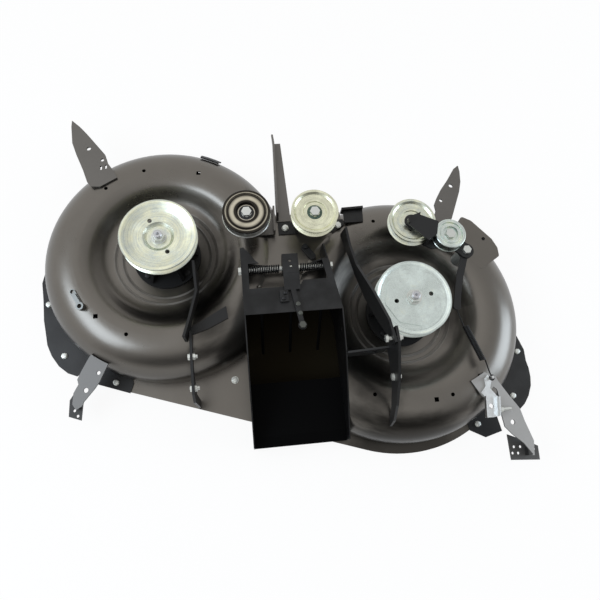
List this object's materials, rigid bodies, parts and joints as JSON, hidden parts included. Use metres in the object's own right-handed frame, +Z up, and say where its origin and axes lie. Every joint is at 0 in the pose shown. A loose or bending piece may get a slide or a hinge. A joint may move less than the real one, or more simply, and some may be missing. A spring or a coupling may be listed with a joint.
{
  "type": "mower deck",
  "caption": "Pressed steel mower deck with staggered blade spindles, belt pulleys, spring-loaded idler arm, hanger plates and a rear discharge chute.",
  "frame": {"origin": "middle of the overall footprint, on the ground plane under the lower edge of the shell", "axes": "+Z up along the spindles, +Y forward away from the discharge chute, +X to the right as seen from behind"},
  "size_m": [1.0854, 0.8474, 0.258],
  "materials": {
    "shell_paint": "satin powder coat",
    "bracket_paint": "satin powder coat",
    "light_paint": "satin powder coat",
    "black_paint": "semi-gloss paint",
    "cast_black": "painted casting",
    "zinc_plate": "zinc plate",
    "fastener_zinc": "zinc plate",
    "dark_idler": "dark phosphate with bright rim",
    "bright_steel": "ground steel",
    "spring_steel": "oiled spring wire"
  },
  "bodies": {
    "deck": {"belt_keeper": "black_paint", "bracket_bolts": "fastener_zinc", "cable_bracket": "zinc_plate", "cable_screw": "fastener_zinc", "chute_floor": "black_paint", "chute_frame": "black_paint", "chute_rod": "fastener_zinc", "deck_shell": "shell_paint", "flat_idler_bolt": "fastener_zinc", "flat_idler_bracket": "bracket_paint", "front_arm": "bracket_paint", "front_left_bracket": "bracket_paint", "front_right_bracket": "bracket_paint", "guard_bars": "black_paint", "hanger_bolts": "fastener_zinc", "housing_bolts": "fastener_zinc", "left_bearings": "bright_steel", "left_brace": "black_paint", "left_corner_plate": "black_paint", "left_hanger_front": "black_paint", "left_hanger_rear": "black_paint", "left_rear_clamp": "black_paint", "left_spindle_housing": "cast_black", "left_torsion_spring": "spring_steel", "mid_idler_bolt": "fastener_zinc", "mid_idler_bracket": "black_paint", "pivot_bolt": "fastener_zinc", "plate_bolts": "fastener_zinc", "rear_left_bracket": "light_paint", "rear_right_bracket": "light_paint", "right_bearings": "bright_steel", "right_brace": "black_paint", "right_corner_plate": "black_paint", "right_hanger_front": "black_paint", "right_hanger_rear": "black_paint", "right_rear_clamp": "black_paint", "right_spindle_housing": "cast_black", "right_torsion_spring": "spring_steel", "stop_plate": "black_paint", "tension_spring": "spring_steel", "washout_fitting": "zinc_plate"},
    "left_spindle": {"left_spindle_shaft": "bright_steel", "left_spindle_pulley": "zinc_plate", "left_pulley_nut": "fastener_zinc", "left_blade": "black_paint", "left_blade_bolt": "fastener_zinc"},
    "right_spindle": {"right_spindle_shaft": "bright_steel", "right_spindle_pulley": "zinc_plate", "right_pulley_nut": "fastener_zinc", "right_blade": "black_paint", "right_blade_bolt": "fastener_zinc"},
    "flat_idler": {"flat_idler": "dark_idler"},
    "mid_idler": {"mid_idler": "zinc_plate"},
    "tension_arm": {"tension_arm": "black_paint", "v_idler_bolt": "fastener_zinc", "small_idler_bolt": "fastener_zinc"},
    "v_idler": {"v_idler": "zinc_plate"},
    "small_idler": {"small_idler": "zinc_plate"},
    "chute_latch": {"chute_latch": "black_paint", "latch_bolt": "fastener_zinc"}
  },
  "joints": [
    {"name": "left_spindle_spin", "type": "hinge", "parent": "deck", "child": "left_spindle", "pos_m": [-0.254, 0.073, 0.11], "axis": [0, 0, 1], "continuous": true},
    {"name": "right_spindle_spin", "type": "hinge", "parent": "deck", "child": "right_spindle", "pos_m": [0.238, -0.093, 0.11], "axis": [0, 0, 1], "continuous": true},
    {"name": "flat_idler_spin", "type": "hinge", "parent": "deck", "child": "flat_idler", "pos_m": [-0.0775, 0.1125, 0.188], "axis": [0, 0, 1], "continuous": true},
    {"name": "mid_idler_spin", "type": "hinge", "parent": "deck", "child": "mid_idler", "pos_m": [0.062, 0.105, 0.188], "axis": [0, 0, 1], "continuous": true},
    {"name": "tension_arm_pivot", "type": "hinge", "parent": "deck", "child": "tension_arm", "pos_m": [0.373, 0.007, 0.173], "axis": [0, 0, 1], "range_deg": [-12, 0], "stiffness_Nm_per_rad": 25, "springref_deg": 11.46, "deforming": ["tension_spring"]},
    {"name": "v_idler_spin", "type": "hinge", "parent": "tension_arm", "child": "v_idler", "pos_m": [0.262, 0.072, 0.188], "axis": [0, 0, 1], "continuous": true},
    {"name": "small_idler_spin", "type": "hinge", "parent": "tension_arm", "child": "small_idler", "pos_m": [0.337, 0.038, 0.188], "axis": [0, 0, 1], "continuous": true},
    {"name": "chute_latch_pivot", "type": "hinge", "parent": "deck", "child": "chute_latch", "pos_m": [0.002, -0.002, 0.163], "axis": [-1, 0, 0], "range_deg": [0, 40], "stiffness_Nm_per_rad": 0.6, "springref_deg": -22.92}
  ]
}
